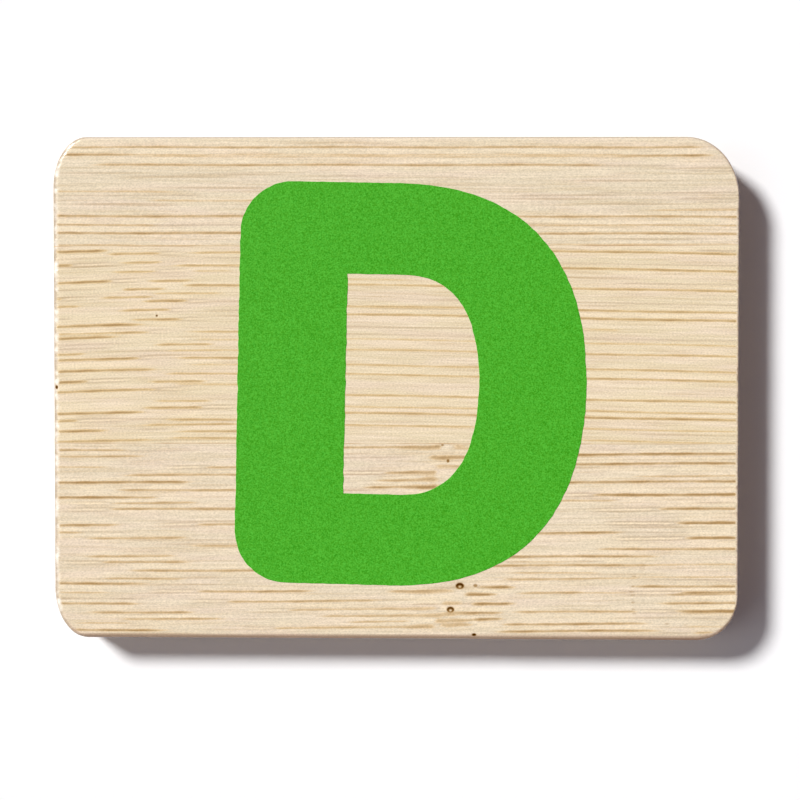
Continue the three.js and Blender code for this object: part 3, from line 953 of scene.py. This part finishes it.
ink = bpy.data.materials.new("green_screen_ink")
ink.use_nodes = True
ink_shader = ink.node_tree.nodes["Principled BSDF"]
ink_place = add_node(ink, "ShaderNodeTexCoord").outputs["Object"]
spots, blotches = [
    add_node(ink, "ShaderNodeTexNoise",
             {"Vector": ink_place, "Scale": 1 / (size * MM), "Detail": 1.0}).outputs["Fac"]
    for size in (INK_SPOT, INK_BLOTCH)]
bright, yellow = [
    add_node(ink, "ShaderNodeMapRange",
             {"Value": value, "From Min": 0.3, "From Max": 0.7, "To Max": most}).outputs[0]
    for value, most in ((spots, 1.0), (blotches, 0.3))]
green = add_node(ink, "ShaderNodeMix",
                 {MIX_SHARE: bright, MIX_UNDER: linear(INK_DEEP), MIX_OVER: linear(INK_BRIGHT)},
                 data_type="RGBA").outputs[MIX_RESULT]
green = add_node(ink, "ShaderNodeMix",
                 {MIX_SHARE: yellow, MIX_UNDER: green, MIX_OVER: linear(INK_YELLOW)},
                 data_type="RGBA").outputs[MIX_RESULT]
skin = add_node(ink, "ShaderNodeBump",
                {"Height": spots, "Strength": 0.3, "Distance": INK_SKIN * MM}).outputs[0]
ink.node_tree.links.new(green, ink_shader.inputs["Base Color"])
ink.node_tree.links.new(skin, ink_shader.inputs["Normal"])
ink_shader.inputs["Roughness"].default_value = INK_ROUGHNESS
ink_shader.inputs["Specular IOR Level"].default_value = INK_GLOSS

print_piece = add_piece("letter_ink", letter, ink, smooth_angle=INK_SMOOTH_ANGLE)
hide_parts("letter_print")


# Floor
# A large sheet of matt white paper that the tile lies on. It takes the tile's shadow and isn't part
# of the toy.

PAPER_WHITE = "#FFFFFF"
PAPER_ROUGHNESS = 0.9
FLOOR_DROP = 0.02
FLOOR_REACH = 2000

sheet = bmesh.new()
bmesh.ops.create_grid(sheet, x_segments=1, y_segments=1, size=FLOOR_REACH * MM)
bmesh.ops.translate(sheet, vec=(0, 0, -FLOOR_DROP * MM), verts=sheet.verts)
floor_mesh = bpy.data.meshes.new("floor")
sheet.to_mesh(floor_mesh)
sheet.free()
paper = bpy.data.materials.new("white_paper")
paper.use_nodes = True
paper_shader = paper.node_tree.nodes["Principled BSDF"]
paper_shader.inputs["Base Color"].default_value = linear(PAPER_WHITE)
paper_shader.inputs["Roughness"].default_value = PAPER_ROUGHNESS
paper_shader.inputs["Specular IOR Level"].default_value = 0.0
floor_mesh.materials.append(paper)
floor = bpy.data.objects.new("floor", floor_mesh)
bpy.context.collection.objects.link(floor)


# Light
# One soft lamp from the upper left that casts the tile's short shadow, a wide weak one at the left
# that fills the shadow below the tile, and a dim room.

# Each lamp: its azimuth, elevation and apparent width in degrees, and its strength.
LAMPS = {"key_lamp": (142, 47.5, 12, 3.57), "left_lamp": (186, 55, 30, 0.33)}
ROOM_SHADE = "#564F58"

for name, (azimuth, elevation, width, strength) in LAMPS.items():
    lamp = bpy.data.lights.new(name, "SUN")
    lamp.energy = strength
    lamp.angle = math.radians(width)
    lamp_object = bpy.data.objects.new(name, lamp)
    turn, rise = math.radians(azimuth), math.radians(elevation)
    towards = Vector((math.cos(rise) * math.cos(turn), math.cos(rise) * math.sin(turn), math.sin(rise)))
    lamp_object.rotation_euler = towards.to_track_quat("Z", "Y").to_euler()
    bpy.context.collection.objects.link(lamp_object)

room = bpy.data.worlds.new("white_room")
room.use_nodes = True
bpy.context.scene.world = room
path = add_node(room, "ShaderNodeLightPath").outputs
seen = path["Is Camera Ray"]
for ray in ("Is Glossy Ray", "Is Transmission Ray"):
    seen = add_node(room, "ShaderNodeMath", {0: seen, 1: path[ray]}, operation="MAXIMUM").outputs[0]
wall = add_node(room, "ShaderNodeMix",
                {MIX_SHARE: seen, MIX_UNDER: linear(ROOM_SHADE), MIX_OVER: linear(PAPER_WHITE)},
                data_type="RGBA").outputs[MIX_RESULT]
room.node_tree.links.new(wall, room.node_tree.nodes["Background"].inputs["Color"])


# Camera
# Above the tile, a touch off its middle and turned back to it, as the photograph was taken. Its place
# is in mm and its turn in degrees.

CAMERA_PLACE = Vector((9.75, 5.21, 226.46))
CAMERA_TURN = (-1.6575, 2.384, -0.025)
LENS = 100.18

camera_data = bpy.data.cameras.new("camera")
camera_data.lens = LENS
camera = bpy.data.objects.new("camera", camera_data)
camera.location = CAMERA_PLACE * MM
camera.rotation_euler = [math.radians(angle) for angle in CAMERA_TURN]
bpy.context.collection.objects.link(camera)
bpy.context.scene.camera = camera
bpy.context.scene.view_settings.view_transform = "Standard"
